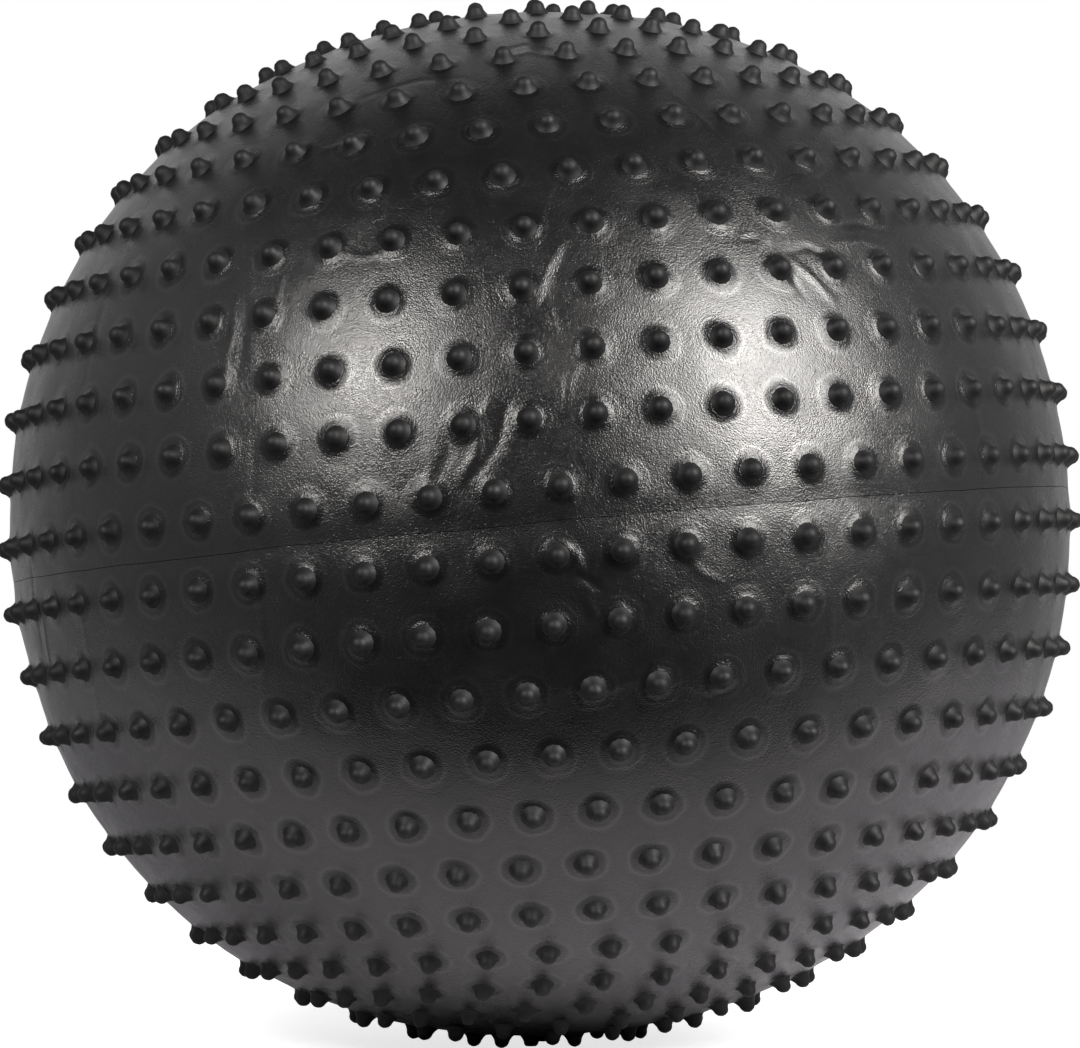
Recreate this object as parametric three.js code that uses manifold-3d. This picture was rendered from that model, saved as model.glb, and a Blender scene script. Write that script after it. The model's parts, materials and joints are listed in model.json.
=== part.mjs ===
// An inflatable studded exercise ball: a thin black PVC skin moulded in two
// halves, with round-tipped studs all over it, and a press-in stopper that
// closes its air valve. Millimetres, +Z up, the origin on the floor under the
// ball. The two halves of the moulding are two solids that meet at the parting
// seam; the studs are moulded in one with the skin.

import * as THREE from 'three';
import Module from 'manifold-3d';
import { mergeVertices } from 'three/addons/utils/BufferGeometryUtils.js';

// ---------------------------------------------------------------- the skin

const MEAN_RADIUS = 324.4;      // of the skin, measured from mid-height
const OBLATENESS = 5.7;         // how far the waist stands out and the poles pull in
const SHOULDERS = -3.0;         // fullness between the waist and each pole
const SEAM_DROP = 7.75;         // the parting seam lies this far below mid-height
const WALL = 0.9;               // thickness of the skin
const SEAM_GAP = 0.3;           // between the two half solids

// ---------------------------------------------------------------- the studs

const STUD_BASE_RADIUS = 7.6;
const STUD_HEIGHT = 8;
const STUD_SIDES = 6;
const ROW_PITCH = 6.9;          // degrees of latitude from row to row at the seam
const ROW_CROWDING = 0.0175;    // the rows close up a little towards each pole
// How many studs each row has, and how far round it starts, as a share of its
// spacing, from the seam to the pole.
const STUDS_IN_ROW = [55, 54, 52, 49, 47, 43, 39, 35, 30, 24, 18, 12, 6];
const UPPER_STARTS = [0.36, 0.98, 0.02, 0.04, 0.16, 0.9, 0.64, 0.36, 0.08, 0.66, 0.25, 0.7, 0.7];
const LOWER_STARTS = [0.22, 0.08, 0.58, 0.9, 0.5, 0.24, 0.32, 0.52, 0.36, 0.04, 0.6, 0.45, 0.8];

// ---------------------------------------------------------------- how it stands

const SIDE_TILT = 5.1;          // degrees: the seam rises towards +X
const BACK_TILT = 1.5;          // degrees: the top pole leans towards +Y
const FLOOR_CLEARANCE = 6.3;    // of the skin: the studs under the ball are pressed this short

// ---------------------------------------------------------------- the valve

const VALVE_HOLE_RADIUS = 10;
const INSERT_RADIUS = 9.7;
const INSERT_FLANGE_RADIUS = 16;
const INSERT_FLANGE_DEPTH = 2.2;    // its upper face, below the skin's outer face
const INSERT_FLANGE_THICKNESS = 1.6;
const INSERT_BOSS_RADIUS = 7;
const INSERT_LENGTH = 13;
const RECESS_RADIUS = 8;
const RECESS_DEPTH = 1.6;
const BORE_RADIUS = 3.3;
const PLUG_HEAD_RADIUS = 7.6;
const PLUG_STEM_RADIUS = 2.95;
const PLUG_TIP_RADIUS = 2.5;
const PLUG_LENGTH = 16;
const RUNNING_GAP = 0.3;
const ROUND_STEPS = 32;

const RING_STEPS = 60;
const INNER_RINGS = 14;

const radians = THREE.MathUtils.degToRad;
const degrees = THREE.MathUtils.radToDeg;
const poleRadius = MEAN_RADIUS - OBLATENESS + SHOULDERS;

// A point of the skin, or depth millimetres inside it, in the mould's frame:
// +Z is the mould's axis, and longitude 0 faces -Y.
function skinPoint(latitude, longitude, depth = 0) {
  const lat = radians(latitude);
  const lon = radians(longitude);
  const direction = new THREE.Vector3(
    Math.cos(lat) * Math.sin(lon),
    -Math.cos(lat) * Math.cos(lon),
    Math.sin(lat),
  );
  direction.multiplyScalar(MEAN_RADIUS);
  direction.z -= SEAM_DROP;
  direction.normalize();
  const height = Math.asin(direction.z);
  const radius = MEAN_RADIUS + OBLATENESS * Math.cos(2 * height) + SHOULDERS * Math.cos(4 * height);
  return direction.multiplyScalar(radius - depth);
}

// One half of the skin, collected vertex by vertex. side is 1 for the upper
// half and -1 for the lower one, which is made as a mirror image.
class HalfSkin {
  constructor(side) {
    this.side = side;
    this.positions = [];
    this.triangles = [];
  }

  vertex(latitude, longitude, depth = 0) {
    const point = skinPoint(this.side * latitude, longitude, depth);
    this.positions.push(point.x, point.y, point.z);
    return { longitude, point, index: this.positions.length / 3 - 1 };
  }

  triangle(a, b, c) {
    this.triangles.push(...(this.side > 0 ? [a.index, b.index, c.index] : [a.index, c.index, b.index]));
  }

  ring(latitude, steps, depth = 0) {
    return Array.from({ length: steps }, (_, i) => this.vertex(latitude, (i * 360) / steps, depth));
  }

  // Whether a triangle faces away from the ball's middle.
  facesOut(a, b, c) {
    const normal = b.point.clone().sub(a.point).cross(c.point.clone().sub(a.point));
    return this.side * normal.dot(a.point) > 0;
  }

  // Triangles between two closed rings, each in order of longitude. The second
  // lies nearer the pole, seen from outside, or after the first on the way
  // round the wall's edge. The ring that is behind moves on, unless the band
  // is studded and the triangle would fold back under a stud's edge.
  band(first, second, studded = false) {
    const start = (ring) => {
      const turned = ring.map((v) => ({ ...v, longitude: ((v.longitude % 360) + 360) % 360 }));
      turned.sort((a, b) => a.longitude - b.longitude);
      return [...turned, { ...turned[0], longitude: turned[0].longitude + 360 }];
    };
    const [low, high] = [start(first), start(second)];
    let [i, j] = [0, 0];
    while (i < low.length - 1 || j < high.length - 1) {
      let lowIsNext = i < low.length - 1;
      if (lowIsNext && j < high.length - 1) {
        const lowFits = !studded || this.facesOut(low[i], low[i + 1], high[j]);
        const highFits = !studded || this.facesOut(low[i], high[j + 1], high[j]);
        lowIsNext = lowFits === highFits ? low[i + 1].longitude <= high[j + 1].longitude : lowFits;
      }
      if (lowIsNext) {
        this.triangle(low[i], low[i + 1], high[j]);
        i += 1;
      } else {
        this.triangle(low[i], high[j + 1], high[j]);
        j += 1;
      }
    }
  }

  // A row of studs. Its two edges, each a zigzag over or under every stud, join
  // it to its neighbours.
  studRow(latitude, count, start) {
    const spacing = 360 / count;
    const baseAngle = degrees(STUD_BASE_RADIUS / MEAN_RADIUS);
    const edges = { towardsSeam: [], towardsPole: [] };
    for (let j = 0; j < count; j += 1) {
      const middle = (j + start) * spacing;
      const base = Array.from({ length: STUD_SIDES }, (_, k) => {
        const turn = (2 * Math.PI * k) / STUD_SIDES;
        return this.vertex(
          latitude + baseAngle * Math.sin(turn),
          middle + (baseAngle * Math.cos(turn)) / Math.cos(radians(latitude)),
        );
      });
      const tip = this.vertex(latitude, middle, -STUD_HEIGHT);
      base.forEach((corner, k) => this.triangle(corner, base[(k + 1) % STUD_SIDES], tip));
      const half = STUD_SIDES / 2;
      edges.towardsPole.push(...base.slice(0, half + 1).reverse());
      edges.towardsSeam.push(...base.slice(half), base[0]);
    }
    return edges;
  }

  geometry() {
    const geometry = new THREE.BufferGeometry();
    geometry.setAttribute('position', new THREE.Float32BufferAttribute(this.positions, 3));
    geometry.setIndex(this.triangles);
    return geometry;
  }
}

function rowLatitude(row) {
  const u = row + 0.5;
  return ROW_PITCH * u - ROW_CROWDING * u * u;
}

// One half of the moulding: the studded outside, the plain inside, the wall's
// edge at the seam and, where holeRadius is given, the wall's edge at the valve.
function halfShell(side, starts, holeRadius) {
  const half = new HalfSkin(side);
  const seamLatitude = degrees(SEAM_GAP / 2 / MEAN_RADIUS);
  const holeLatitude = 90 - degrees(holeRadius / poleRadius);

  const outerSeam = half.ring(seamLatitude, RING_STEPS);
  const innerSeam = half.ring(seamLatitude, RING_STEPS, WALL);
  let edge = outerSeam;
  starts.forEach((start, row) => {
    const studs = half.studRow(rowLatitude(row), STUDS_IN_ROW[row], start);
    half.band(edge, studs.towardsSeam, true);
    edge = studs.towardsPole;
  });

  const insideRings = [innerSeam];
  const innerTop = holeRadius > 0 ? holeLatitude : 90;
  for (let i = 1; i < INNER_RINGS; i += 1) {
    insideRings.push(half.ring(seamLatitude + ((innerTop - seamLatitude) * i) / INNER_RINGS, RING_STEPS, WALL));
  }

  if (holeRadius > 0) {
    const outerHole = half.ring(holeLatitude, ROUND_STEPS);
    const innerHole = half.ring(holeLatitude, ROUND_STEPS, WALL);
    half.band(edge, outerHole, true);
    half.band(outerHole, innerHole);
    insideRings.push(innerHole);
  } else {
    const outerPole = half.vertex(90, 0);
    const innerPole = half.vertex(90, 0, WALL);
    closeWithPole(half, edge, outerPole, false);
    closeWithPole(half, insideRings.at(-1), innerPole, true);
  }

  half.band(innerSeam, outerSeam);
  for (let i = 1; i < insideRings.length; i += 1) {
    half.band(insideRings[i], insideRings[i - 1]);
  }
  return half.geometry();
}

function closeWithPole(half, ring, pole, inside) {
  ring.forEach((from, i) => {
    const to = ring[(i + 1) % ring.length];
    if (inside) half.triangle(to, from, pole);
    else half.triangle(from, to, pole);
  });
}

// ---------------------------------------------------------------- assembly

const skinMaterial = new THREE.MeshStandardMaterial({ color: 0x17171a, roughness: 0.42, metalness: 0 });
const valveMaterial = new THREE.MeshStandardMaterial({ color: 0x1f1f22, roughness: 0.5, metalness: 0 });
const plugMaterial = new THREE.MeshStandardMaterial({ color: 0x2a2a2e, roughness: 0.45, metalness: 0 });

const ball = new THREE.Group();
const leaning = new THREE.Group();
const mould = new THREE.Group();
ball.add(leaning);
leaning.add(mould);
leaning.position.z = poleRadius + FLOOR_CLEARANCE;
leaning.rotation.y = -radians(SIDE_TILT);
mould.rotation.x = -radians(BACK_TILT);
ball.updateMatrixWorld(true);

function addPiece(name, geometry, material) {
  const mesh = new THREE.Mesh(geometry, material);
  mesh.name = name;
  mould.add(mesh);
}

const wasm = await Module();
wasm.setup();

function toSolid(geometry) {
  const bare = geometry.clone();
  bare.deleteAttribute('normal');
  bare.deleteAttribute('uv');
  const merged = mergeVertices(bare);
  return new wasm.Manifold(new wasm.Mesh({
    numProp: 3,
    vertProperties: merged.getAttribute('position').array,
    triVerts: new Uint32Array(merged.index.array),
  }));
}

function toGeometry(solid) {
  const mesh = solid.getMesh();
  const geometry = new THREE.BufferGeometry();
  geometry.setAttribute('position', new THREE.Float32BufferAttribute(mesh.vertProperties, 3));
  geometry.setIndex([...mesh.triVerts]);
  return geometry;
}

// The floor, in the mould's own frame, cuts the studs that the ball stands on.
function floorBlock() {
  const side = 2 * MEAN_RADIUS;
  const block = new THREE.BoxGeometry(side, side, STUD_HEIGHT * 4);
  block.translate(0, 0, -STUD_HEIGHT * 2);
  block.applyMatrix4(mould.matrixWorld.clone().invert());
  return block;
}

const lowerHalf = toSolid(halfShell(-1, LOWER_STARTS, 0)).subtract(toSolid(floorBlock()));
addPiece('shell_upper_half', halfShell(1, UPPER_STARTS, VALVE_HOLE_RADIUS), skinMaterial);
addPiece('shell_lower_half', toGeometry(lowerHalf), skinMaterial);

// The valve is turned about the mould's axis. Heights run down from the skin's
// outer face at the pole.
const poleHeight = skinPoint(90, 0).z;
const below = (depth) => poleHeight - depth;

function turned(profile) {
  const points = profile.map(([radius, height]) => new THREE.Vector2(radius, height));
  return new THREE.LatheGeometry(points, ROUND_STEPS).rotateX(Math.PI / 2);
}

// The bush that is welded under the skin and holds the stopper.
addPiece('valve_insert', turned([
  [BORE_RADIUS, below(INSERT_LENGTH)],
  [INSERT_BOSS_RADIUS, below(INSERT_LENGTH)],
  [INSERT_BOSS_RADIUS, below(INSERT_FLANGE_DEPTH + INSERT_FLANGE_THICKNESS)],
  [INSERT_FLANGE_RADIUS, below(INSERT_FLANGE_DEPTH + INSERT_FLANGE_THICKNESS)],
  [INSERT_FLANGE_RADIUS, below(INSERT_FLANGE_DEPTH)],
  [INSERT_RADIUS, below(INSERT_FLANGE_DEPTH)],
  [INSERT_RADIUS, below(0)],
  [RECESS_RADIUS, below(0)],
  [RECESS_RADIUS, below(RECESS_DEPTH)],
  [BORE_RADIUS, below(RECESS_DEPTH)],
  [BORE_RADIUS, below(INSERT_LENGTH)],
]), valveMaterial);

// The stopper: a low dished head, a tapered stem and a rounded tip.
addPiece('valve_plug', turned([
  [0, below(PLUG_LENGTH)],
  [PLUG_TIP_RADIUS * 0.7, below(PLUG_LENGTH)],
  [PLUG_TIP_RADIUS, below(PLUG_LENGTH - 1)],
  [PLUG_STEM_RADIUS, below(RECESS_DEPTH + 2)],
  [PLUG_STEM_RADIUS, below(RECESS_DEPTH - RUNNING_GAP)],
  [PLUG_HEAD_RADIUS, below(RECESS_DEPTH - RUNNING_GAP)],
  [PLUG_HEAD_RADIUS, below(0.3)],
  [PLUG_HEAD_RADIUS - 0.7, below(-0.3)],
  [0, below(-0.3)],
]), plugMaterial);

export default ball;
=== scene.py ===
"""A studded inflatable exercise ball in black vinyl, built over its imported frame.

Each half of the skin is half a finely divided sphere, pinched in at the parting seam and creased along
drawn lines. Each half's studs are one small shape, set down row by row. The valve's bush and stopper are
turned parts at the upper pole. Everything is modelled upright in the mould's own frame, in which +Z is the
mould's axis, and then leant as the ball leans.
"""

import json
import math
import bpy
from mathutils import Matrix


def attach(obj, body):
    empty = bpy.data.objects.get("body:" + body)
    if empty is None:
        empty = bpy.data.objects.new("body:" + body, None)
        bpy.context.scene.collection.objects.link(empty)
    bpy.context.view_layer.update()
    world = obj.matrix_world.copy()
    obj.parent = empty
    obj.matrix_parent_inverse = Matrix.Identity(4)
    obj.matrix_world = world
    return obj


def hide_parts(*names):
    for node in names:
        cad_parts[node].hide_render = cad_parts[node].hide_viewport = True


bl_info = {
    "name": "Studded exercise ball",
    "version": (1, 0, 0),
    "blender": (4, 5, 0),
    "location": "View3D > Sidebar > Ball",
    "description": "Builds the skin, studs and valve of an inflatable exercise ball, and its studio",
    "category": "Object",
}

import bpy
import numpy as np
from mathutils import Matrix, Vector, noise

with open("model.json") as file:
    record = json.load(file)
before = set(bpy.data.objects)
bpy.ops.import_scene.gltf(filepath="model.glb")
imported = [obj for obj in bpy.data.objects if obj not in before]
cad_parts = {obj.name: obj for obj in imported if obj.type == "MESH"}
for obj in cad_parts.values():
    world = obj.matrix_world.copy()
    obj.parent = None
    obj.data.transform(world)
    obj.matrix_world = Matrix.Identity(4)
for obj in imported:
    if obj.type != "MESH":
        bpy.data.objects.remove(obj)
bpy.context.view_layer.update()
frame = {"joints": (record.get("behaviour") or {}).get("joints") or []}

MM = 0.001

# ------------------------------------------------------------------ the ball's driving sizes, in millimetres

MEAN_RADIUS = 324.4
OBLATENESS = 5.7            # the waist swells and the poles pull in
SHOULDERS = -3.0            # the skin is fullest above and below the seam
SEAM_DROP = 7.75            # the seam lies this far under mid-height
FLOOR_CLEARANCE = 6.3

ROW_PITCH = 6.9             # degrees of latitude from row to row
ROW_CROWDING = 0.0175
STUDS_IN_ROW = (55, 54, 52, 49, 47, 43, 39, 35, 30, 24, 18, 12, 6)
ROW_STARTS = {
    1: (0.36, 0.98, 0.02, 0.04, 0.16, 0.9, 0.64, 0.36, 0.08, 0.66, 0.25, 0.7, 0.7),
    -1: (0.22, 0.08, 0.58, 0.9, 0.5, 0.24, 0.32, 0.52, 0.36, 0.04, 0.6, 0.45, 0.8),
}

SEAM_HALF_WIDTH = 0.17      # of the fine gap between the halves' rims

BUSH_RADIUS = 9.7
HOLE_EDGE_RADIUS = 9.3      # the skin's hole is welded to the bush, a little inside its wall
BUSH_FLANGE_RADIUS = 16.0
BUSH_FLANGE_DEPTH = 2.2
BUSH_FLANGE_THICKNESS = 1.6
BUSH_BOSS_RADIUS = 7.0
BUSH_LENGTH = 13.0
RECESS_RADIUS = 8.0
RECESS_DEPTH = 1.6
BORE_RADIUS = 3.3
HEAD_RADIUS = 7.6
HEAD_CROWN = 0.3            # how far the stopper's head stands above the skin
STEM_RADIUS = 2.95
TIP_RADIUS = 2.5
STOPPER_LENGTH = 16.0
RUNNING_GAP = 0.3
TURNED_STEPS = 64

# How each half's rim turns in at the seam: mm inwards and mm towards the other half, step by step.
SEAM_LIP = ((0.4, 0.1), (0.9, 0.12), (5.0, 0.0))
PINCH_REACH = 1.2           # degrees of latitude over which the pinch at the seam fades
WANDER_REACH = 1.6          # and over which its wandering fades
CALM_AT_VALVE = 4.5         # degrees from the valve within which the skin's relief fades

# Slow unevenness: size from swell to swell in mm, seed, and share of the height.
SKIN_WAVES = ((75.0, 11.3, 1.0), (26.0, 4.7, 0.55))
SEAM_WAVES = ((60.0, 21.9, 1.0), (22.0, 2.3, 0.5))

# A stud from its brim up: share of the brim's radius, share of the height.
STUD_RINGS = ((0.82, 0.13), (0.68, 0.36), (0.61, 0.62), (0.46, 0.83), (0.22, 0.95))
STUD_ROOT = 0.5             # how deep its brim is sunk in the skin
WIDTH_SPREAD = 0.02         # how unlike its neighbours a stud is: shares of its width and height
HEIGHT_SPREAD = 0.03
LEAN_SPREAD = 0.035         # and radians

# How the ball leans: the stopper slides along the mould's axis.
MOULD_AXIS = Vector(frame["joints"][0]["axis"]).normalized()
SIDE_TILT = math.atan2(-MOULD_AXIS.x, MOULD_AXIS.z)
BACK_TILT = math.asin(MOULD_AXIS.y)
POLE_RADIUS = MEAN_RADIUS - OBLATENESS + SHOULDERS
BALL_HEIGHT = (POLE_RADIUS + FLOOR_CLEARANCE) * MM
LEAN = Matrix.Rotation(-SIDE_TILT, 4, "Y") @ Matrix.Rotation(-BACK_TILT, 4, "X")
STANDING = Matrix.Translation((0, 0, BALL_HEIGHT)) @ LEAN

# Creases in the vinyl, from when the ball lay folded in its box. Each is a line of points (longitude and
# latitude in degrees), its height in mm, which is negative where it is pressed in, and its half width in mm.
CREASES = (
    (((5.4, 36.0), (4.2, 34.0), (3.0, 31.0), (1.4, 26.6)), 0.45, 1.7),
    (((5.0, 28.5), (3.1, 25.9), (2.1, 23.5), (1.5, 22.0)), 1.1, 2.6),
    (((6.2, 28.2), (4.4, 25.4), (3.6, 22.4)), -0.7, 2.8),
    (((2.9, 22.0), (3.5, 18.4)), 0.7, 2.0),
    (((5.9, 16.6), (4.2, 14.0), (3.4, 10.6)), 0.9, 3.0),
    (((3.4, 15.0), (3.0, 9.0)), -0.5, 2.4),
    (((-3.9, 12.5), (-5.1, 10.5), (-5.7, 7.2), (-7.4, 5.0)), 1.5, 3.4),
    (((-2.4, 11.5), (-3.6, 8.0), (-6.2, 5.3)), -1.2, 3.6),
    (((-8.6, 11.0), (-8.4, 7.6), (-9.8, 5.4)), -0.8, 3.2),
    (((-10.6, 8.0), (-10.2, 6.2), (-11.6, 4.6)), 0.6, 2.6),
    (((3.5, 8.4), (3.6, 2.9), (3.3, -1.1)), 0.35, 1.3),
    (((2.3, -2.3), (3.3, -3.4), (3.8, -5.3)), 1.3, 2.4),
    (((3.4, -5.6), (4.5, -6.3), (5.4, -7.2)), -1.1, 2.2),
    (((5.6, -3.0), (4.5, -6.0)), 0.6, 1.8),
    (((4.2, -8.0), (4.7, -9.6), (5.6, -11.0)), 0.8, 1.9),
    (((3.4, -8.4), (3.9, -10.6)), -0.6, 2.2),
    (((14.6, -4.8), (16.2, -6.6), (18.0, -7.4)), 0.7, 2.4),
    (((20.6, -2.2), (22.4, -4.2)), 0.5, 2.0),
    (((32.0, 0.6), (35.0, -3.2), (39.4, -7.0)), 0.8, 3.4),
    (((34.0, 0.8), (37.4, -3.0)), -0.6, 3.0),
    (((31.6, 25.8), (34.4, 26.4), (37.2, 25.2)), -0.8, 2.4),
    (((30.7, 24.6), (31.2, 22.6), (31.8, 20.8)), -0.7, 2.2),
    (((31.8, 25.0), (34.0, 22.6), (35.6, 20.2)), 0.9, 3.0),
    (((29.6, 27.0), (30.6, 29.4)), 0.7, 2.0),
    (((26.4, 27.6), (28.4, 27.8)), -0.6, 1.8),
    (((38.6, 28.8), (43.5, 29.0), (48.5, 28.0)), -0.9, 2.4),
    (((38.4, 26.6), (43.0, 27.0), (47.5, 26.0)), 0.8, 2.8),
    (((26.6, 48.8), (28.0, 44.6), (29.8, 40.2), (30.4, 33.8)), 0.35, 1.5),
    (((-33.4, 26.4), (-33.0, 22.0), (-33.5, 20.0), (-33.0, 17.0)), 0.9, 2.4),
    (((-31.6, 26.0), (-31.4, 21.0), (-31.8, 18.0)), -0.7, 2.8),
    (((-27.2, 29.5), (-27.8, 25.6), (-27.4, 22.4)), 0.6, 2.4),
    (((-14.0, 29.6), (-17.6, 29.2), (-20.8, 30.2)), 0.5, 2.4),
    (((-5.2, -15.5), (-3.4, -14.4), (-1.6, -14.0)), 0.5, 1.6),
    (((0.6, -16.6), (5.4, -17.4), (9.4, -16.4)), 0.5, 2.4),
    (((12.0, -17.6), (16.4, -19.4), (20.0, -18.2)), -0.5, 2.6),
    (((1.2, 59.6), (6.0, 61.0), (11.8, 57.8)), -0.9, 2.4),
    (((0.4, 57.6), (6.4, 58.8), (12.8, 55.6)), 0.8, 2.6),
    (((-24.0, 52.0), (-15.0, 54.4), (-6.0, 54.0)), -0.6, 2.6),
    (((-30.0, 45.6), (-26.4, 44.0), (-22.0, 44.8)), 0.5, 2.0),
    (((-59.3, 43.8), (-56.9, 25.3), (-56.7, 7.3)), -0.5, 3.4),
    (((-57.5, -3.2), (-57.6, -10.0), (-60.2, -18.4)), 0.5, 3.0),
    (((-68.0, -2.6), (-69.1, -10.2)), 0.9, 2.0),
    (((-70.0, 1.6), (-70.4, -8.0)), -0.8, 2.2),
    (((-35.8, 38.3), (-31.4, 27.0), (-29.3, 15.1)), 0.4, 3.4),
    (((-29.4, 12.0), (-29.9, 3.6)), -0.45, 3.0),
    (((-30.0, -1.8), (-30.6, -9.4), (-32.0, -14.8)), 0.45, 2.6),
    (((30.4, -4.7), (30.2, -9.4), (30.6, -14.4)), 0.5, 2.4),
    (((-42.6, 22.0), (-44.2, 12.4), (-44.0, 4.2)), -0.4, 3.4),
    (((52.0, 18.0), (53.6, 6.0), (53.0, -4.6)), 0.4, 3.0),
    (((86.0, 30.0), (92.0, 22.0), (94.0, 12.0), (91.0, 4.0)), 0.9, 3.0),
    (((96.0, 26.0), (99.0, 16.0), (98.0, 8.0)), -0.8, 3.0),
    (((108.0, -6.0), (114.0, -14.0), (118.0, -24.0)), 0.8, 2.6),
    (((128.0, 12.0), (134.0, 20.0), (144.0, 22.0)), -0.8, 2.8),
    (((150.0, -4.0), (156.0, -12.0), (158.0, -22.0)), 1.0, 2.8),
    (((168.0, 14.0), (174.0, 6.0), (176.0, 2.0)), 0.8, 2.4),
    (((-172.0, 24.0), (-166.0, 30.0), (-158.0, 30.0)), -0.8, 2.6),
    (((-150.0, 6.0), (-146.0, 14.0), (-148.0, 24.0)), 0.9, 2.8),
    (((-134.0, -8.0), (-128.0, -14.0), (-120.0, -14.0)), 0.9, 2.6),
    (((-112.0, 32.0), (-108.0, 24.0), (-110.0, 16.0)), -0.8, 2.8),
    (((-96.0, 4.0), (-92.0, 12.0), (-94.0, 20.0)), 0.8, 2.6),
    (((60.0, 62.0), (84.0, 66.0), (110.0, 64.0)), -0.8, 2.8),
    (((-150.0, 58.0), (-120.0, 62.0), (-96.0, 58.0)), 0.8, 2.8),
)


# ------------------------------------------------------------------ settings a user would change


class BallSkinSettings(bpy.types.PropertyGroup):
    """Sizes and finish of the ball's vinyl skin."""

    cells: bpy.props.IntProperty(
        name="Cells", description="Mesh cells along a quarter of the girth", default=156, min=24, max=192
    )
    seam_pinch: bpy.props.FloatProperty(
        name="Seam pinch", description="How far the skin pulls in at the seam, in millimetres", default=0.5
    )
    seam_wander: bpy.props.FloatProperty(
        name="Seam wander", description="How far the seam strays from its plane, in millimetres", default=1.1
    )
    undulation: bpy.props.FloatProperty(
        name="Undulation", description="Height of the skin's slow waves, in millimetres", default=0.75
    )
    crease_depth: bpy.props.FloatProperty(
        name="Crease depth", description="Share of the creases' listed height", default=0.7, min=0, max=2
    )
    skirt_height: bpy.props.FloatProperty(
        name="Skirt height", description="Rise of the skin under each stud, in millimetres", default=2.0
    )
    skirt_radius: bpy.props.FloatProperty(
        name="Skirt radius", description="Where the rise round a stud ends, in millimetres", default=14.0
    )
    colour: bpy.props.StringProperty(name="Colour", description="Vinyl colour, sRGB hex", default="050506")
    roughness: bpy.props.FloatProperty(
        name="Roughness", description="Roughness of the grained vinyl", default=0.27, subtype="FACTOR"
    )


class StudSettings(bpy.types.PropertyGroup):
    """Sizes and finish of the massage studs."""

    brim_radius: bpy.props.FloatProperty(
        name="Brim radius", description="Radius of a stud's foot, in millimetres", default=7.4
    )
    height: bpy.props.FloatProperty(
        name="Height", description="Height of a stud, in millimetres", default=7.5
    )
    sides: bpy.props.IntProperty(name="Sides", description="Sides of a stud", default=12, min=6, max=16)
    colour: bpy.props.StringProperty(name="Colour", description="Stud colour, sRGB hex", default="08080A")
    roughness: bpy.props.FloatProperty(
        name="Roughness", description="Roughness of the smooth studs", default=0.6, subtype="FACTOR"
    )


class ValveSettings(bpy.types.PropertyGroup):
    """Finish of the valve's bush and stopper."""

    bush_colour: bpy.props.StringProperty(name="Bush colour", description="sRGB hex", default="1D1E20")
    stopper_colour: bpy.props.StringProperty(name="Stopper colour", description="sRGB hex", default="222325")
    edge_bevel: bpy.props.FloatProperty(
        name="Edge bevel", description="Rounding of the moulded edges, in millimetres", default=0.35
    )


class StudioSettings(bpy.types.PropertyGroup):
    """Camera, lights, floor and surroundings."""

    camera_distance: bpy.props.FloatProperty(
        name="Camera distance", description="From the ball's axis", default=3.656, subtype="DISTANCE",
        unit="LENGTH",
    )
    lens: bpy.props.FloatProperty(name="Lens", description="Focal length in millimetres", default=196.5)
    softbox_distance: bpy.props.FloatProperty(
        name="Softbox distance", description="From the ball's centre", default=2.0, subtype="DISTANCE",
        unit="LENGTH",
    )
    left_power: bpy.props.FloatProperty(name="Left power", description="Watts", default=42.0)
    right_power: bpy.props.FloatProperty(name="Right power", description="Watts", default=104.0)
    backdrop: bpy.props.FloatProperty(
        name="Backdrop", description="Brightness of the wall behind the ball in its reflections", default=0.64
    )
    sides: bpy.props.FloatProperty(
        name="Sides", description="Brightness of the walls at the sides", default=0.5
    )
    room: bpy.props.FloatProperty(
        name="Room", description="Brightness of the rest of the room", default=0.07
    )
    sheet_width: bpy.props.FloatProperty(
        name="Sheet half width", description="Of the pale floor", default=1.3, subtype="DISTANCE",
        unit="LENGTH",
    )
    sheet_length: bpy.props.FloatProperty(
        name="Sheet half length", description="Of the pale floor", default=1.2, subtype="DISTANCE",
        unit="LENGTH",
    )
    sheet_shift: bpy.props.FloatProperty(
        name="Sheet shift", description="Of its centre, behind the ball", default=0.72, subtype="DISTANCE",
        unit="LENGTH",
    )
    floor_colour: bpy.props.StringProperty(name="Floor colour", description="sRGB hex", default="CAC8CE")
    overexposure: bpy.props.FloatProperty(
        name="Overexposure", description="Light added to the floor as it is seen", default=0.75
    )


SETTINGS = (BallSkinSettings, StudSettings, ValveSettings, StudioSettings)


# ------------------------------------------------------------------ small helpers


def linear(hex_colour):
    """An sRGB hex colour as the linear colour that a shader takes."""
    channels = [int(hex_colour[i : i + 2], 16) / 255 for i in (0, 2, 4)]
    return tuple(c / 12.92 if c <= 0.04045 else ((c + 0.055) / 1.055) ** 2.4 for c in channels) + (1.0,)


def node(tree, kind, settings=None, links=None):
    """Adds a shader node, gives its properties and sockets their values, and links its inputs."""
    made = tree.nodes.new(kind)
    for name, value in (settings or {}).items():
        if isinstance(name, str) and hasattr(made, name):
            setattr(made, name, value)
        else:
            made.inputs[name].default_value = value
    for name, source in (links or {}).items():
        tree.links.new(source, made.inputs[name])
    return made


def new_material(name):
    """A material with an empty tree, and that tree."""
    material = bpy.data.materials.new(name)
    material.use_nodes = True
    material.node_tree.nodes.clear()
    return material, material.node_tree


def start_piece():
    """Nothing is selected, and the next primitive stands alone."""
    if bpy.context.object and bpy.context.object.mode != "OBJECT":
        bpy.ops.object.mode_set(mode="OBJECT")
    bpy.ops.object.select_all(action="DESELECT")


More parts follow.
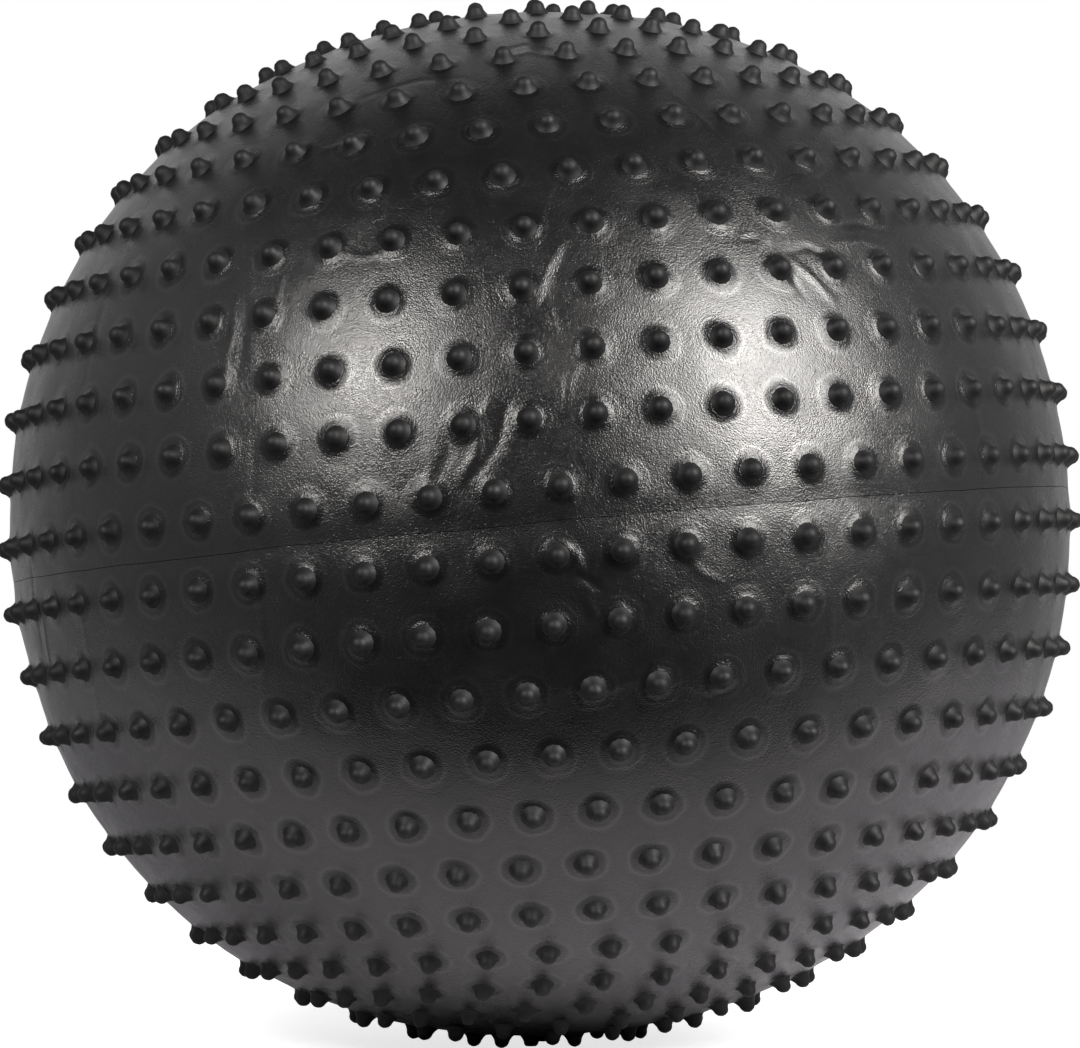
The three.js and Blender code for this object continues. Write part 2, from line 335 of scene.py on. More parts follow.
def clear_selection(kind):
    """Leaves nothing selected in the active mesh, so that faces or edges can be chosen from an array."""
    bpy.ops.object.mode_set(mode="EDIT")
    bpy.ops.mesh.select_mode(type=kind)
    bpy.ops.mesh.select_all(action="DESELECT")
    bpy.ops.object.mode_set(mode="OBJECT")


def name_piece(name, material):
    """The active object gets its name and its material."""
    piece = bpy.context.object
    piece.name = name
    piece.data.name = name
    piece.data.materials.clear()
    piece.data.materials.append(material)
    return piece


def coordinates(mesh):
    """A mesh's vertices as an array."""
    values = np.empty(len(mesh.vertices) * 3)
    mesh.vertices.foreach_get("co", values)
    return values.reshape(-1, 3)


def set_coordinates(mesh, points):
    """Moves a mesh's vertices."""
    mesh.vertices.foreach_set("co", np.ascontiguousarray(points, dtype=np.float64).ravel())
    mesh.update()


def stand(piece):
    """Leans a piece as the ball leans, with its place in its mesh."""
    piece.data.transform(STANDING)
    piece.matrix_world = Matrix.Identity(4)
    piece.data.update()


def finish_piece(piece, body, cad_node):
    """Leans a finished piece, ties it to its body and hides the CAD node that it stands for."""
    stand(piece)
    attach(piece, body)
    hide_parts(cad_node)


# ------------------------------------------------------------------ the ball's surface


def directions(longitude, latitude):
    """Unit vectors in the mould's frame: longitude 0 faces -Y."""
    lon = np.radians(longitude)
    lat = np.radians(latitude)
    return np.stack([np.cos(lat) * np.sin(lon), -np.cos(lat) * np.cos(lon), np.sin(lat)], axis=-1)


def row_latitude(row):
    """Latitude of a row of studs, counted from the seam."""
    steps = row + 0.5
    return ROW_PITCH * steps - ROW_CROWDING * steps**2


def stud_places(side):
    """Direction of every stud on one half, row by row."""
    places = []
    for row, (count, start) in enumerate(zip(STUDS_IN_ROW, ROW_STARTS[side])):
        longitude = (np.arange(count) + start) * 360 / count
        places.append(directions(longitude, np.full(count, side * row_latitude(row))))
    return np.concatenate(places)


ALL_STUDS = np.concatenate([stud_places(1), stud_places(-1)])


def plain_skin(unit):
    """The blown ball without its relief: directions in, points in mm and outward radius out."""
    lowered = unit * MEAN_RADIUS - np.array([0, 0, SEAM_DROP])
    lowered /= np.linalg.norm(lowered, axis=1)[:, None]
    tilt = np.arcsin(np.clip(lowered[:, 2], -1, 1))
    radius = MEAN_RADIUS + OBLATENESS * np.cos(2 * tilt) + SHOULDERS * np.cos(4 * tilt)
    return lowered, radius


def nearest_stud(unit):
    """Distance in mm from each direction to its nearest stud's axis, worked out block by block."""
    nearest = np.full(len(unit), -1.0)
    block = 20000
    for first in range(0, len(unit), block):
        nearest[first : first + block] = (unit[first : first + block] @ ALL_STUDS.T).max(axis=1)
    return np.arccos(np.clip(nearest, -1, 1)) * MEAN_RADIUS


def crease_relief(unit):
    """Height in mm that the creases add."""
    relief = np.zeros(len(unit))
    for line, height, half_width in CREASES:
        points = directions(*np.array(line).T) * MEAN_RADIUS
        middle = points.mean(axis=0)
        reach = np.linalg.norm(points - middle, axis=1).max() + 5 * half_width
        near = np.nonzero(np.linalg.norm(unit * MEAN_RADIUS - middle, axis=1) < reach)[0]
        if not len(near):
            continue
        place = unit[near] * MEAN_RADIUS
        lengths = np.linalg.norm(np.diff(points, axis=0), axis=1)
        total = lengths.sum()
        best = np.full(len(near), np.inf)
        along = np.zeros(len(near))
        before = 0.0
        for a, b, length in zip(points[:-1], points[1:], lengths):
            share = np.clip((place - a) @ (b - a) / length**2, 0, 1)
            gap = np.linalg.norm(place - a - share[:, None] * (b - a), axis=1)
            closer = gap < best
            best[closer] = gap[closer]
            along[closer] = (before + share[closer] * length) / total
            before += length
        # A crease dies away towards both ends.
        fade = np.sin(np.pi * np.clip(0.08 + 0.84 * along, 0, 1)) ** 0.7
        relief[near] += height * fade * np.exp(-((best / half_width) ** 2))
    return relief


def slow_waves(unit, waves):
    """A smooth unevenness, summed over its waves."""
    total = np.zeros(len(unit))
    for size, seed, share in waves:
        place = unit * (MEAN_RADIUS / size) + seed
        total += share * np.array([noise.noise(Vector(p)) for p in place])
    return total


def skin_relief(unit, settings):
    """Everything that lifts or lowers the skin, in mm."""
    latitude = np.degrees(np.arcsin(np.clip(unit[:, 2], -1, 1)))
    relief = -settings.seam_pinch * np.exp(-((latitude / PINCH_REACH) ** 2))
    relief += settings.undulation * slow_waves(unit, SKIN_WAVES)
    relief += settings.crease_depth * crease_relief(unit)
    from_valve = np.degrees(np.arccos(np.clip(unit[:, 2], -1, 1)))
    return relief * (1 - np.exp(-((from_valve / CALM_AT_VALVE) ** 2)))


def seam_wander(unit, settings):
    """How far the seam and the skin beside it stray up or down, in mm."""
    latitude = np.degrees(np.arcsin(np.clip(unit[:, 2], -1, 1)))
    sway = slow_waves(unit * (1, 1, 0), SEAM_WAVES)
    return settings.seam_wander * sway * np.exp(-((latitude / WANDER_REACH) ** 2))


def skirt(distance, settings):
    """The rise of the skin round a stud."""
    share = np.clip(1 - distance / settings.skirt_radius, 0, 1)
    return settings.skirt_height * share**2


# ------------------------------------------------------------------ materials


def cloud(tree, place, size, detail, roughness=0.5):
    """A noise texture between 0 and 1, whose coarsest cells are size mm across."""
    settings = {"Scale": 1 / (size * MM), "Detail": detail, "Roughness": roughness}
    return node(tree, "ShaderNodeTexNoise", settings, {"Vector": place}).outputs["Fac"]


def spread(tree, source, low, high, start=0.3, end=0.7):
    """Carries a noise texture's usual range over to low and high."""
    limits = {"From Min": start, "From Max": end, "To Min": low, "To Max": high}
    return node(tree, "ShaderNodeMapRange", limits, {"Value": source}).outputs[0]


def line_through(tree, source, points):
    """The height of a smooth line through these points, source along it."""
    made = node(tree, "ShaderNodeFloatCurve", None, {"Value": source})
    curve = made.mapping.curves[0]
    for index, point in enumerate(points):
        if index < 2:
            curve.points[index].location = point
        else:
            curve.points.new(*point)
    made.mapping.update()
    return made.outputs[0]


def bump(tree, height, strength, depth, under=None):
    """Tilts the surface as a height between 0 and 1 asks, depth mm deep, over the bump that lies under it."""
    links = {"Height": height}
    if under is not None:
        links["Normal"] = under
    made = node(tree, "ShaderNodeBump", {"Strength": strength, "Distance": depth * MM}, links)
    return made.outputs["Normal"]


def surface(tree, shader):
    """Makes a shader the material's surface."""
    node(tree, "ShaderNodeOutputMaterial", None, {"Surface": shader.outputs[0]})


# Round a stud's axis: the height and the shine of its disc, both against a share of DISC_REACH.
DISC_REACH = 20.0           # mm
DISC_STRAY = 5.0            # mm by which a disc's edge strays at the most
DISC_HEIGHT = (
    (0.0, 1.0), (0.28, 1.0), (0.45, 0.42), (0.54, 0.14), (0.60, 0.10), (0.64, 0.10), (0.72, 0.0), (1.0, 0.0),
)
DISC_SHINE = (
    (0.0, 0.3), (0.42, 0.3), (0.54, 0.37), (0.59, 0.45), (0.64, 0.59), (0.69, 0.56), (0.76, 0.5), (1.0, 0.5),
)


def disc_reach(tree, place):
    """How far out from the nearest stud's axis a point lies. No two discs are quite round."""
    distance = node(tree, "ShaderNodeAttribute", {"attribute_name": "stud_distance"}).outputs["Fac"]
    strayed = node(
        tree, "ShaderNodeMath", {"operation": "MULTIPLY_ADD", 1: DISC_STRAY},
        {0: cloud(tree, place, 12.0, 2.0), 2: distance},
    )
    return spread(tree, strayed.outputs[0], 0.0, 1.0, DISC_STRAY / 2, DISC_STRAY / 2 + DISC_REACH)


def skin_vinyl(settings):
    """Blow-moulded PVC. The eye sees black with a soft grain finer than a millimetre, which gives the broad
    highlights their tooth, a duller disc and a pale ring round each stud, and a slow unevenness of gloss."""
    material, tree = new_material("grained_black_pvc")
    place = node(tree, "ShaderNodeTexCoord").outputs["Object"]
    # Grain 0.9 mm across, and shallow pits 2.6 mm apart where the mould was shot-blasted.
    grain = cloud(tree, place, 0.9, 1.0)
    pits = node(
        tree, "ShaderNodeTexVoronoi", {"feature": "SMOOTH_F1", "Scale": 1 / (2.6 * MM)}, {"Vector": place}
    )
    mixed = node(
        tree, "ShaderNodeMath", {"operation": "MULTIPLY_ADD", 1: 0.25},
        {0: pits.outputs["Distance"], 2: grain},
    )
    # The disc under each stud stands a little proud and ends in a faint ring, 13 mm from the stud's axis. Its
    # vinyl is duller than the rest, and the ring is rubbed bright.
    reach = disc_reach(tree, place)
    fine = bump(tree, mixed.outputs[0], 0.9, 0.3)
    normal = bump(tree, line_through(tree, reach, DISC_HEIGHT), 1.0, 0.6, fine)
    shine = line_through(tree, reach, DISC_SHINE)
    # Gloss changes over patches of 40 mm and less, where the skin was handled.
    patches = cloud(tree, place, 40.0, 4.0, 0.65)
    gloss = spread(tree, patches, settings.roughness - 0.05, settings.roughness + 0.07)
    # Dust in the grain lightens the black by a shade.
    colour = node(
        tree, "ShaderNodeMix", {"data_type": "RGBA", 6: linear(settings.colour), 7: linear("0A0A0B")},
        {0: cloud(tree, place, 90.0, 5.0)},
    )
    surface(tree, node(
        tree, "ShaderNodeBsdfPrincipled", {"IOR": 1.53},
        {"Base Color": colour.outputs[2], "Roughness": gloss, "Normal": normal, "Specular IOR Level": shine},
    ))
    return material


def stud_vinyl(settings):
    """The same PVC where the mould was polished. The eye sees smooth dark caps with one soft glint each."""
    material, tree = new_material("smooth_black_pvc")
    place = node(tree, "ShaderNodeTexCoord").outputs["Object"]
    gloss = spread(tree, cloud(tree, place, 11.0, 3.0), settings.roughness - 0.06, settings.roughness + 0.08)
    # A faint ripple of 3 mm, left by the cooling vinyl.
    normal = bump(tree, cloud(tree, place, 3.0, 2.0), 0.25, 0.4)
    surface(tree, node(
        tree, "ShaderNodeBsdfPrincipled",
        {"Base Color": linear(settings.colour), "IOR": 1.53, "Specular IOR Level": 0.22},
        {"Roughness": gloss, "Normal": normal},
    ))
    return material


def moulded_rubber(name, hex_colour):
    """Injection-moulded TPE. The eye sees a dull dark grey with a fine satin texture."""
    material, tree = new_material(name)
    place = node(tree, "ShaderNodeTexCoord").outputs["Object"]
    # Spark-eroded texture, 0.5 mm across.
    grain = cloud(tree, place, 0.5, 2.0)
    surface(tree, node(
        tree, "ShaderNodeBsdfPrincipled", {"Base Color": linear(hex_colour), "IOR": 1.5},
        {"Roughness": spread(tree, grain, 0.48, 0.62, 0.0, 1.0), "Normal": bump(tree, grain, 0.3, 0.1)},
    ))
    return material


# ------------------------------------------------------------------ skin


def blow_skin(settings):
    """A finely divided cube, rounded to a sphere of radius 1 with cells of much the same size."""
    start_piece()
    bpy.ops.mesh.primitive_cube_add(size=2)
    bpy.ops.object.mode_set(mode="EDIT")
    bpy.ops.mesh.select_all(action="SELECT")
    bpy.ops.mesh.subdivide(number_cuts=11)
    bpy.ops.mesh.subdivide(number_cuts=settings.cells // 12 - 1)
    bpy.ops.object.mode_set(mode="OBJECT")
    cube = bpy.context.object
    even = np.tan(coordinates(cube.data) * math.pi / 4)
    set_coordinates(cube.data, even / np.linalg.norm(even, axis=1)[:, None])
    return cube


def refine_creases(piece):
    """Divides the cells that lie near a crease, so that it folds crisply."""
    mesh = piece.data
    unit = coordinates(mesh)
    least_relief = 0.06
    near = np.abs(crease_relief(unit)) > least_relief
    faces = np.empty(len(mesh.loops), dtype=np.int64)
    mesh.loops.foreach_get("vertex_index", faces)
    starts = np.empty(len(mesh.polygons), dtype=np.int64)
    mesh.polygons.foreach_get("loop_start", starts)
    chosen = np.logical_or.reduceat(near[faces], starts)
    clear_selection("FACE")
    mesh.polygons.foreach_set("select", chosen)
    bpy.ops.object.mode_set(mode="EDIT")
    bpy.ops.mesh.subdivide(number_cuts=1)
    bpy.ops.object.mode_set(mode="OBJECT")


def round_hole(mesh, hole):
    """Moves the vertices round the hole's faces on to its circle. The mesh is still a sphere of radius 1."""
    inside, outside = set(), set()
    for face in mesh.polygons:
        if face.center.z > 0.9:
            (inside if hole[face.index] else outside).update(face.vertices)
    for index in inside & outside:
        point = mesh.vertices[index].co
        shrink = HOLE_EDGE_RADIUS / MEAN_RADIUS / math.hypot(point.x, point.y)
        point.x *= shrink
        point.y *= shrink


def keep_half(piece, side):
    """Cuts the sphere at the seam and, on the upper half, opens the hole of the valve."""
    mesh = piece.data
    clear_selection("FACE")
    centres = np.empty(len(mesh.polygons) * 3)
    mesh.polygons.foreach_get("center", centres)
    centres = centres.reshape(-1, 3)
    away = centres[:, 2] * side < 0
    if side > 0:
        hole = (np.hypot(centres[:, 0], centres[:, 1]) * MEAN_RADIUS < HOLE_EDGE_RADIUS) & (centres[:, 2] > 0)
        round_hole(mesh, hole)
        away |= hole
    mesh.polygons.foreach_set("select", away)
    bpy.ops.object.mode_set(mode="EDIT")
    bpy.ops.mesh.delete(type="FACE")
    bpy.ops.mesh.delete_loose()
    bpy.ops.object.mode_set(mode="OBJECT")


def inflate(piece, settings):
    """Gives the unit half sphere its true form, and keeps each vertex's distance to its nearest stud."""
    mesh = piece.data
    unit = coordinates(mesh)
    unit /= np.linalg.norm(unit, axis=1)[:, None]
    distance = nearest_stud(unit)
    lowered, radius = plain_skin(unit)
    radius = radius + skin_relief(unit, settings) + skirt(distance, settings)
    points = lowered * radius[:, None]
    points[:, 2] += seam_wander(unit, settings)
    set_coordinates(mesh, points * MM)
    mesh.attributes.new("stud_distance", "FLOAT", "POINT").data.foreach_set("value", distance)


def rim_edges(mesh):
    """The open edges at the seam, as a mask over all edges."""
    used = np.empty(len(mesh.loops), dtype=np.int64)
    mesh.loops.foreach_get("edge_index", used)
    open_edges = np.bincount(used, minlength=len(mesh.edges)) == 1
    ends = np.empty(len(mesh.edges) * 2, dtype=np.int64)
    mesh.edges.foreach_get("vertices", ends)
    height = coordinates(mesh)[ends.reshape(-1, 2), 2].mean(axis=1)
    return open_edges & (height < POLE_RADIUS / 2 * MM), ends.reshape(-1, 2)


def fold_lip(piece, side):
    """Turns the rim at the seam inwards and leaves a fine gap between the two halves."""
    mesh = piece.data
    clear_selection("EDGE")
    chosen, ends = rim_edges(mesh)
    points = coordinates(mesh)
    points[np.unique(ends[chosen]), 2] += side * SEAM_HALF_WIDTH * MM
    set_coordinates(mesh, points)
    mesh.edges.foreach_set("select", chosen)
    bpy.ops.object.mode_set(mode="EDIT")
    for inward, sink in SEAM_LIP:
        shrink = 1 - inward / MEAN_RADIUS
        bpy.ops.mesh.extrude_edges_move(TRANSFORM_OT_translate={"value": (0, 0, -side * sink * MM)})
        bpy.ops.transform.resize(value=(shrink, shrink, 1), center_override=(0, 0, 0))
    bpy.ops.object.mode_set(mode="OBJECT")


def smooth(piece, degrees):
    """Smooth shading that leaves edges sharper than this crisp."""
    start_piece()
    piece.select_set(True)
    bpy.context.view_layer.objects.active = piece
    bpy.ops.object.shade_smooth_by_angle(angle=math.radians(degrees))


class BALL_OT_skin(bpy.types.Operator):
    """Builds both halves of the grained vinyl skin"""

    bl_idname = "ball.skin"
    bl_label = "Skin"

    def execute(self, context):
        settings = context.scene.ball_skin
        vinyl = skin_vinyl(settings)
        for side, name in ((1, "upper"), (-1, "lower")):
            piece = blow_skin(settings)
            keep_half(piece, side)
            refine_creases(piece)
            inflate(piece, settings)
            fold_lip(piece, side)
            name_piece(f"skin_{name}_half", vinyl)
            smooth(piece, 50)
            finish_piece(piece, "ball", f"shell_{name}_half")
        return {"FINISHED"}


# ------------------------------------------------------------------ studs


def model_stud(settings):
    """One stud, upright at the origin, in mm: a flared brim, a waist and a domed cap."""
    brim = settings.brim_radius
    tall = settings.height
    start_piece()
    bpy.ops.mesh.primitive_circle_add(vertices=settings.sides, radius=brim, location=(0, 0, -STUD_ROOT))
    bpy.ops.object.mode_set(mode="EDIT")
    bpy.ops.mesh.select_all(action="SELECT")
    radius, level = brim, -STUD_ROOT
    for share, rise in STUD_RINGS:
        bpy.ops.mesh.extrude_edges_move(TRANSFORM_OT_translate={"value": (0, 0, tall * rise - level)})
        grow = brim * share / radius
        bpy.ops.transform.resize(value=(grow, grow, 1), center_override=(0, 0, tall * rise))
        radius, level = brim * share, tall * rise
    bpy.ops.mesh.extrude_edges_move(TRANSFORM_OT_translate={"value": (0, 0, tall - level)})
    bpy.ops.mesh.merge(type="CENTER")
    bpy.ops.mesh.select_all(action="SELECT")
    bpy.ops.mesh.normals_make_consistent(inside=False)
    bpy.ops.object.mode_set(mode="OBJECT")
    return bpy.context.object


def set_studs(stud, side, skin, settings):
    """Copies the stud to every place of one half, each a little different, as one mesh in metres."""
    shape = coordinates(stud.data)
    faces = [tuple(face.vertices) for face in stud.data.polygons]
    places = stud_places(side)
    chance = np.random.default_rng(7 if side > 0 else 8)
    vertices, all_faces = [], []
    for place in places:
        # Any direction will do that isn't a stud's own.
        across = np.cross(place, (0.3, 0.2, 1.0))
        across /= np.linalg.norm(across)
        up = np.cross(place, across)
        turn = chance.uniform(0, 2 * math.pi)
        width = chance.normal(1, WIDTH_SPREAD)
        height = chance.normal(1, HEIGHT_SPREAD)
        lean = chance.normal(0, LEAN_SPREAD, 2)
        spun = shape[:, 0] * math.cos(turn) - shape[:, 1] * math.sin(turn)
        other = shape[:, 0] * math.sin(turn) + shape[:, 1] * math.cos(turn)
        flat = np.stack([spun, other], axis=1) * width
        foot = place + (flat[:, :1] * across + flat[:, 1:] * up) / MEAN_RADIUS
        foot /= np.linalg.norm(foot, axis=1)[:, None]
        lowered, radius = plain_skin(foot)
        rise = skirt(settings.brim_radius, skin) + skin_relief(foot, skin)
        base = lowered * (radius + rise)[:, None]
        outward = place + lean[0] * across + lean[1] * up
        outward /= np.linalg.norm(outward)
        all_faces += [tuple(v + len(vertices) * len(shape) for v in face) for face in faces]
        vertices.append(base + np.outer(shape[:, 2] * height, outward))
    mesh = bpy.data.meshes.new("studs")
    mesh.from_pydata(np.concatenate(vertices) * MM, [], all_faces)
    mesh.update()
    return mesh


def press_on_floor(piece):
    """Studs under the ball are pressed flat on the floor."""
    points = coordinates(piece.data)
    points[:, 2] = np.maximum(points[:, 2], 0.0)
    set_coordinates(piece.data, points)


class BALL_OT_studs(bpy.types.Operator):
    """Sets the massage studs on both halves"""

    bl_idname = "ball.studs"
    bl_label = "Studs"

    def execute(self, context):
        settings = context.scene.ball_studs
        skin = context.scene.ball_skin
        vinyl = stud_vinyl(settings)
        stud = model_stud(settings)
        for side, name in ((1, "upper"), (-1, "lower")):
            piece = bpy.data.objects.new(f"studs_{name}_half", set_studs(stud, side, skin, settings))
            context.collection.objects.link(piece)
            start_piece()
            context.view_layer.objects.active = piece
            name_piece(f"studs_{name}_half", vinyl)
            smooth(piece, 70)
            finish_piece(piece, "ball", f"shell_{name}_half")
            press_on_floor(piece)
        bpy.data.objects.remove(stud)
        return {"FINISHED"}


# ------------------------------------------------------------------ valve


def below(depth):
    """Height of a level that lies this deep under the skin at the upper pole, in metres."""
    return (POLE_RADIUS - depth) * MM


def turn_profile(profile, bevel):
    """Spins an outline of (radius, depth) in mm round the mould's axis, and rounds its edges. The outline
    either closes or starts and ends on the axis."""
    start_piece()
    first_radius, first_depth = profile[0]
    bpy.ops.mesh.primitive_plane_add(size=0.001)
    bpy.ops.object.mode_set(mode="EDIT")
    bpy.ops.mesh.select_mode(type="VERT")
    bpy.ops.mesh.select_all(action="SELECT")
    bpy.ops.mesh.merge(type="CENTER")
    bpy.ops.transform.translate(value=(first_radius * MM, 0, below(first_depth)))
    last = (first_radius, first_depth)
    for radius, depth in profile[1:]:
        step = ((radius - last[0]) * MM, 0, (last[1] - depth) * MM)
        bpy.ops.mesh.extrude_vertices_move(TRANSFORM_OT_translate={"value": step})
        last = (radius, depth)
    bpy.ops.mesh.select_all(action="SELECT")
    bpy.ops.mesh.spin(steps=TURNED_STEPS, angle=2 * math.pi, center=(0, 0, 0), axis=(0, 0, 1))
    bpy.ops.mesh.select_all(action="SELECT")
    bpy.ops.mesh.remove_doubles(threshold=1e-6)
    bpy.ops.mesh.select_all(action="SELECT")
    bpy.ops.mesh.normals_make_consistent(inside=False)
    bpy.ops.object.mode_set(mode="OBJECT")
    piece = bpy.context.object
    rounding = piece.modifiers.new("rounding", "BEVEL")
    rounding.width = bevel * MM
    rounding.segments = 3
    rounding.limit_method = "ANGLE"
    rounding.angle_limit = math.radians(35)
    bpy.ops.object.modifier_apply(modifier=rounding.name)
    return piece


class BALL_OT_valve(bpy.types.Operator):
    """Builds the welded bush and the stopper that closes it"""

    bl_idname = "ball.valve"
    bl_label = "Valve"

    def execute(self, context):
        settings = context.scene.ball_valve
        bush_profile = (
            (BORE_RADIUS, BUSH_LENGTH), (BUSH_BOSS_RADIUS, BUSH_LENGTH),
            (BUSH_BOSS_RADIUS, BUSH_FLANGE_DEPTH + BUSH_FLANGE_THICKNESS),
            (BUSH_FLANGE_RADIUS, BUSH_FLANGE_DEPTH + BUSH_FLANGE_THICKNESS),
            (BUSH_FLANGE_RADIUS, BUSH_FLANGE_DEPTH), (BUSH_RADIUS, BUSH_FLANGE_DEPTH),
            (BUSH_RADIUS, -0.4), (RECESS_RADIUS, -0.4), (RECESS_RADIUS, RECESS_DEPTH),
            (BORE_RADIUS, RECESS_DEPTH), (BORE_RADIUS, BUSH_LENGTH),
        )
        turn_profile(bush_profile, settings.edge_bevel)
        bush = name_piece("valve_bush", moulded_rubber("moulded_grey_tpe", settings.bush_colour))
        smooth(bush, 30)
        finish_piece(bush, "ball", "valve_insert")
        under = RECESS_DEPTH - RUNNING_GAP
        dish = HEAD_RADIUS * 0.62
        stopper_profile = (
            (0, STOPPER_LENGTH), (TIP_RADIUS * 0.7, STOPPER_LENGTH), (TIP_RADIUS, STOPPER_LENGTH - 1),
            (STEM_RADIUS, 11.0), (TIP_RADIUS, 10.4), (STEM_RADIUS, 7.4), (TIP_RADIUS, 6.8),
            (STEM_RADIUS, 3.8), (STEM_RADIUS, under), (HEAD_RADIUS, under), (HEAD_RADIUS, 0.2),
            (HEAD_RADIUS - 0.6, -HEAD_CROWN), (dish, -HEAD_CROWN), (dish - 0.8, 0.15), (0, 0.3),
        )
        turn_profile(stopper_profile, settings.edge_bevel * 0.6)
        stopper = name_piece("valve_stopper", moulded_rubber("moulded_black_tpe", settings.stopper_colour))
        smooth(stopper, 30)
        finish_piece(stopper, "stopper", "valve_plug")
        return {"FINISHED"}


# ------------------------------------------------------------------ studio


# Each softbox: name, direction from the ball's centre, width and height in metres, and its power's setting.
SOFTBOXES = (
    ("left_softbox", (-0.52, -0.73, 0.46), 0.64, 0.62, "left_power"),
    ("right_softbox", (0.65, -0.60, 0.45), 1.0, 1.14, "right_power"),
)


def ramp(tree, source, start, end, low, high):
    """Carries start to end smoothly over to low to high."""
    limits = {"From Min": start, "From Max": end, "To Min": low, "To Max": high}
    smoothly = {"interpolation_type": "SMOOTHSTEP"}
    return node(tree, "ShaderNodeMapRange", smoothly | limits, {"Value": source}).outputs[0]


def arithmetic(tree, operation, *sources):
    """The result of a sum on its sources."""
    return node(tree, "ShaderNodeMath", {"operation": operation}, dict(enumerate(sources))).outputs[0]


def white_surroundings(settings):
    """White for the eye. The vinyl reflects a dim room whose walls are lighter at its sides, behind the ball
    and towards their tops."""
    world = bpy.data.worlds.new("studio")
    bpy.context.scene.world = world
    world.use_nodes = True
    tree = world.node_tree
    tree.nodes.clear()
    place = node(tree, "ShaderNodeTexCoord").outputs["Generated"]
    towards = node(tree, "ShaderNodeSeparateXYZ", None, {0: place}).outputs
    aside = arithmetic(tree, "ABSOLUTE", towards["X"])
    sides = ramp(tree, aside, 0.45, 0.98, settings.room, settings.sides)
    behind = ramp(tree, towards["Y"], 0.35, 0.9, settings.room, settings.backdrop)
    high = ramp(tree, towards["Z"], 0.0, 0.6, 1.0, 1.7)
    walls = arithmetic(tree, "MULTIPLY", arithmetic(tree, "MAXIMUM", sides, behind), high)
    lit = node(tree, "ShaderNodeBackground", None, {"Strength": walls})
    seen = node(tree, "ShaderNodeBackground", {"Strength": 1.0, "Color": (1, 1, 1, 1)})
    path = node(tree, "ShaderNodeLightPath").outputs["Is Camera Ray"]
    mixed = node(tree, "ShaderNodeMixShader", None, {0: path, 1: lit.outputs[0], 2: seen.outputs[0]})
    node(tree, "ShaderNodeOutputWorld", None, {"Surface": mixed.outputs[0]})


def lay_floor(settings):
    """A pale matt sheet under the ball, which fades away at its edges."""
    start_piece()
    bpy.ops.mesh.primitive_plane_add(size=6, location=(0, 0, -0.0005))
    material, tree = new_material("pale_studio_floor")
    place = node(tree, "ShaderNodeTexCoord").outputs["Object"]
    centred = node(
        tree, "ShaderNodeMapping",
        {"Location": (0, -settings.sheet_shift / settings.sheet_length, 0),
         "Scale": (1 / settings.sheet_width, 1 / settings.sheet_length, 1)},
        {"Vector": place},
    )
    reach = node(tree, "ShaderNodeVectorMath", {"operation": "LENGTH"}, {0: centred.outputs[0]})
    edge = ramp(tree, reach.outputs["Value"], 0.86, 1.06, 0.0, 1.0)
    uneven = node(tree, "ShaderNodeTexNoise", {"Scale": 1.5, "Detail": 2.0}, {"Vector": place})
    gloss = spread(tree, uneven.outputs["Fac"], 0.85, 0.95, 0.0, 1.0)
    shader = node(
        tree, "ShaderNodeBsdfPrincipled",
        {"Base Color": linear(settings.floor_colour), "Specular IOR Level": 0.1}, {"Roughness": gloss},
    )
    # The eye sees it overexposed, with only the shadow under the ball left.
    path = node(tree, "ShaderNodeLightPath").outputs["Is Camera Ray"]
    haze = node(tree, "ShaderNodeMath", {"operation": "MULTIPLY", 1: settings.overexposure}, {0: path})
    glow = node(tree, "ShaderNodeEmission", None, {"Strength": haze.outputs[0]})
    bright = node(tree, "ShaderNodeAddShader", None, {0: shader.outputs[0], 1: glow.outputs[0]})
    clear = node(tree, "ShaderNodeBsdfTransparent")
    surface(tree, node(
        tree, "ShaderNodeMixShader", None, {0: edge, 1: bright.outputs[0], 2: clear.outputs[0]}
    ))
    name_piece("floor", material)


def hang_softbox(name, direction, width, height, power, distance):
    """A rectangular softbox that faces the ball's centre and isn't seen itself."""
    light = bpy.data.lights.new(name, "AREA")
    light.shape = "RECTANGLE"
    light.size = width
    light.size_y = height
    light.energy = power
    light.color = linear("FFFCF8")[:3]
    lamp = bpy.data.objects.new(name, light)
    bpy.context.collection.objects.link(lamp)
    towards = Vector(direction).normalized()
    lamp.location = Vector((0, 0, BALL_HEIGHT)) + towards * distance
    lamp.rotation_euler = towards.to_track_quat("Z", "Y").to_euler()
    lamp.visible_camera = False


def set_camera(settings):
    """The camera stands level with the ball's centre."""
    camera = bpy.data.cameras.new("camera")
    camera.lens = settings.lens
    camera.sensor_width = 36
    camera.clip_end = 200
    holder = bpy.data.objects.new("camera", camera)
    holder.location = (0, -settings.camera_distance, BALL_HEIGHT)
    holder.rotation_euler = (math.pi / 2, 0, 0)
    bpy.context.collection.objects.link(holder)
    bpy.context.scene.camera = holder


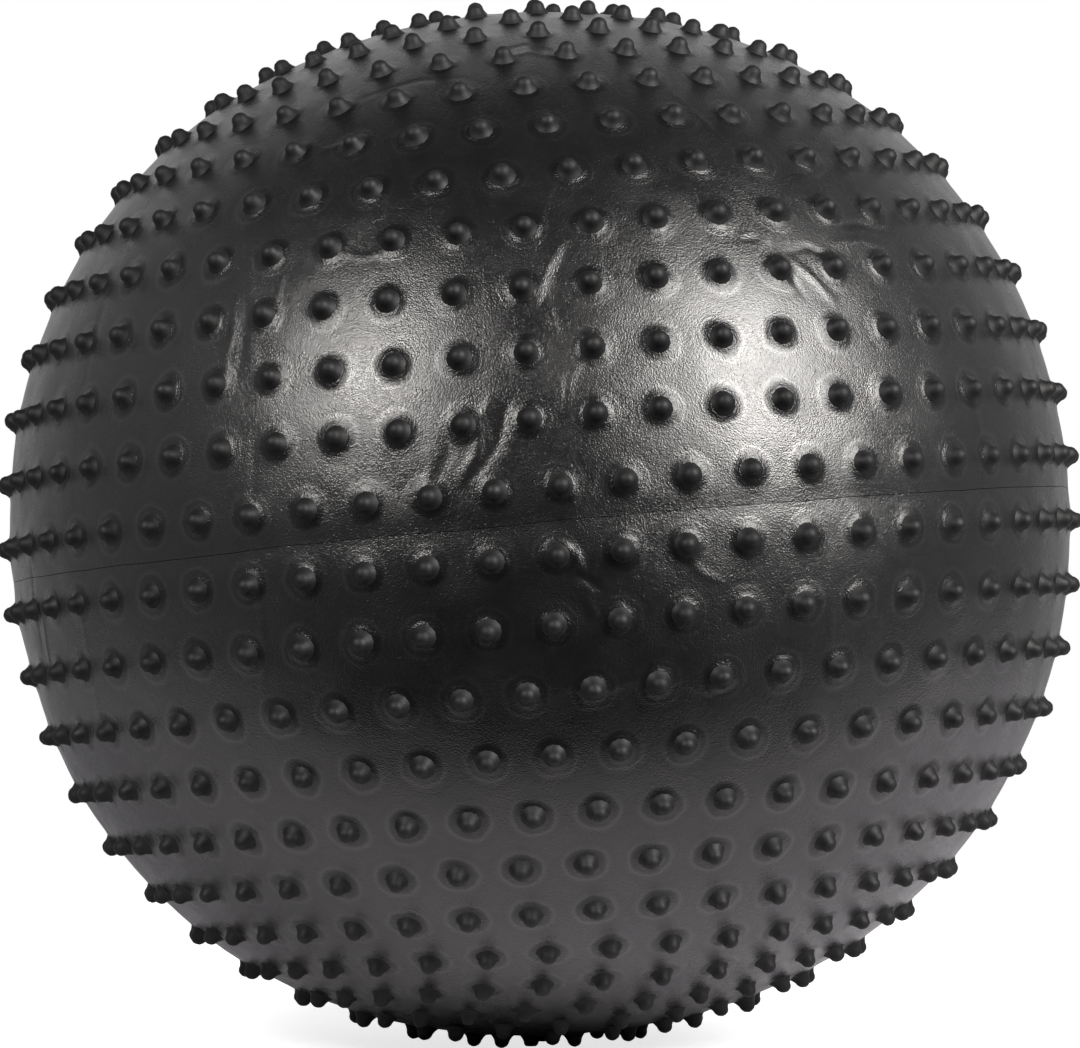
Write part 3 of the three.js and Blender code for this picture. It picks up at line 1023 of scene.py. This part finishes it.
class BALL_OT_studio(bpy.types.Operator):
    """Sets up the camera, the softboxes, the pale floor and the white backdrop"""

    bl_idname = "ball.studio"
    bl_label = "Studio"

    def execute(self, context):
        settings = context.scene.ball_studio
        context.scene.view_settings.view_transform = "Standard"
        set_camera(settings)
        for name, direction, width, height, power in SOFTBOXES:
            power = getattr(settings, power)
            hang_softbox(name, direction, width, height, power, settings.softbox_distance)
        white_surroundings(settings)
        lay_floor(settings)
        return {"FINISHED"}


# ------------------------------------------------------------------ add-on


class BALL_PT_panel(bpy.types.Panel):
    """Lists the ball's pieces and the studio"""

    bl_label = "Studded ball"
    bl_idname = "BALL_PT_panel"
    bl_space_type = "VIEW_3D"
    bl_region_type = "UI"
    bl_category = "Ball"

    def draw(self, context):
        for operator in OPERATORS:
            self.layout.operator(operator.bl_idname)
        for group in ("ball_skin", "ball_studs", "ball_valve", "ball_studio"):
            box = self.layout.box()
            settings = getattr(context.scene, group)
            for name in settings.__annotations__:
                box.prop(settings, name)


OPERATORS = (BALL_OT_skin, BALL_OT_studs, BALL_OT_valve, BALL_OT_studio)


def register():
    """Registers the settings, the operators and the panel."""
    for cls in SETTINGS + OPERATORS + (BALL_PT_panel,):
        bpy.utils.register_class(cls)
    bpy.types.Scene.ball_skin = bpy.props.PointerProperty(type=BallSkinSettings)
    bpy.types.Scene.ball_studs = bpy.props.PointerProperty(type=StudSettings)
    bpy.types.Scene.ball_valve = bpy.props.PointerProperty(type=ValveSettings)
    bpy.types.Scene.ball_studio = bpy.props.PointerProperty(type=StudioSettings)


def unregister():
    """Takes everything that register added away again."""
    for name in ("ball_skin", "ball_studs", "ball_valve", "ball_studio"):
        delattr(bpy.types.Scene, name)
    for cls in reversed(SETTINGS + OPERATORS + (BALL_PT_panel,)):
        bpy.utils.unregister_class(cls)


def main():
    """Builds the ball and its studio."""
    register()
    for operator in (bpy.ops.ball.skin, bpy.ops.ball.studs, bpy.ops.ball.valve, bpy.ops.ball.studio):
        operator()


if __name__ == "__main__":
    main()
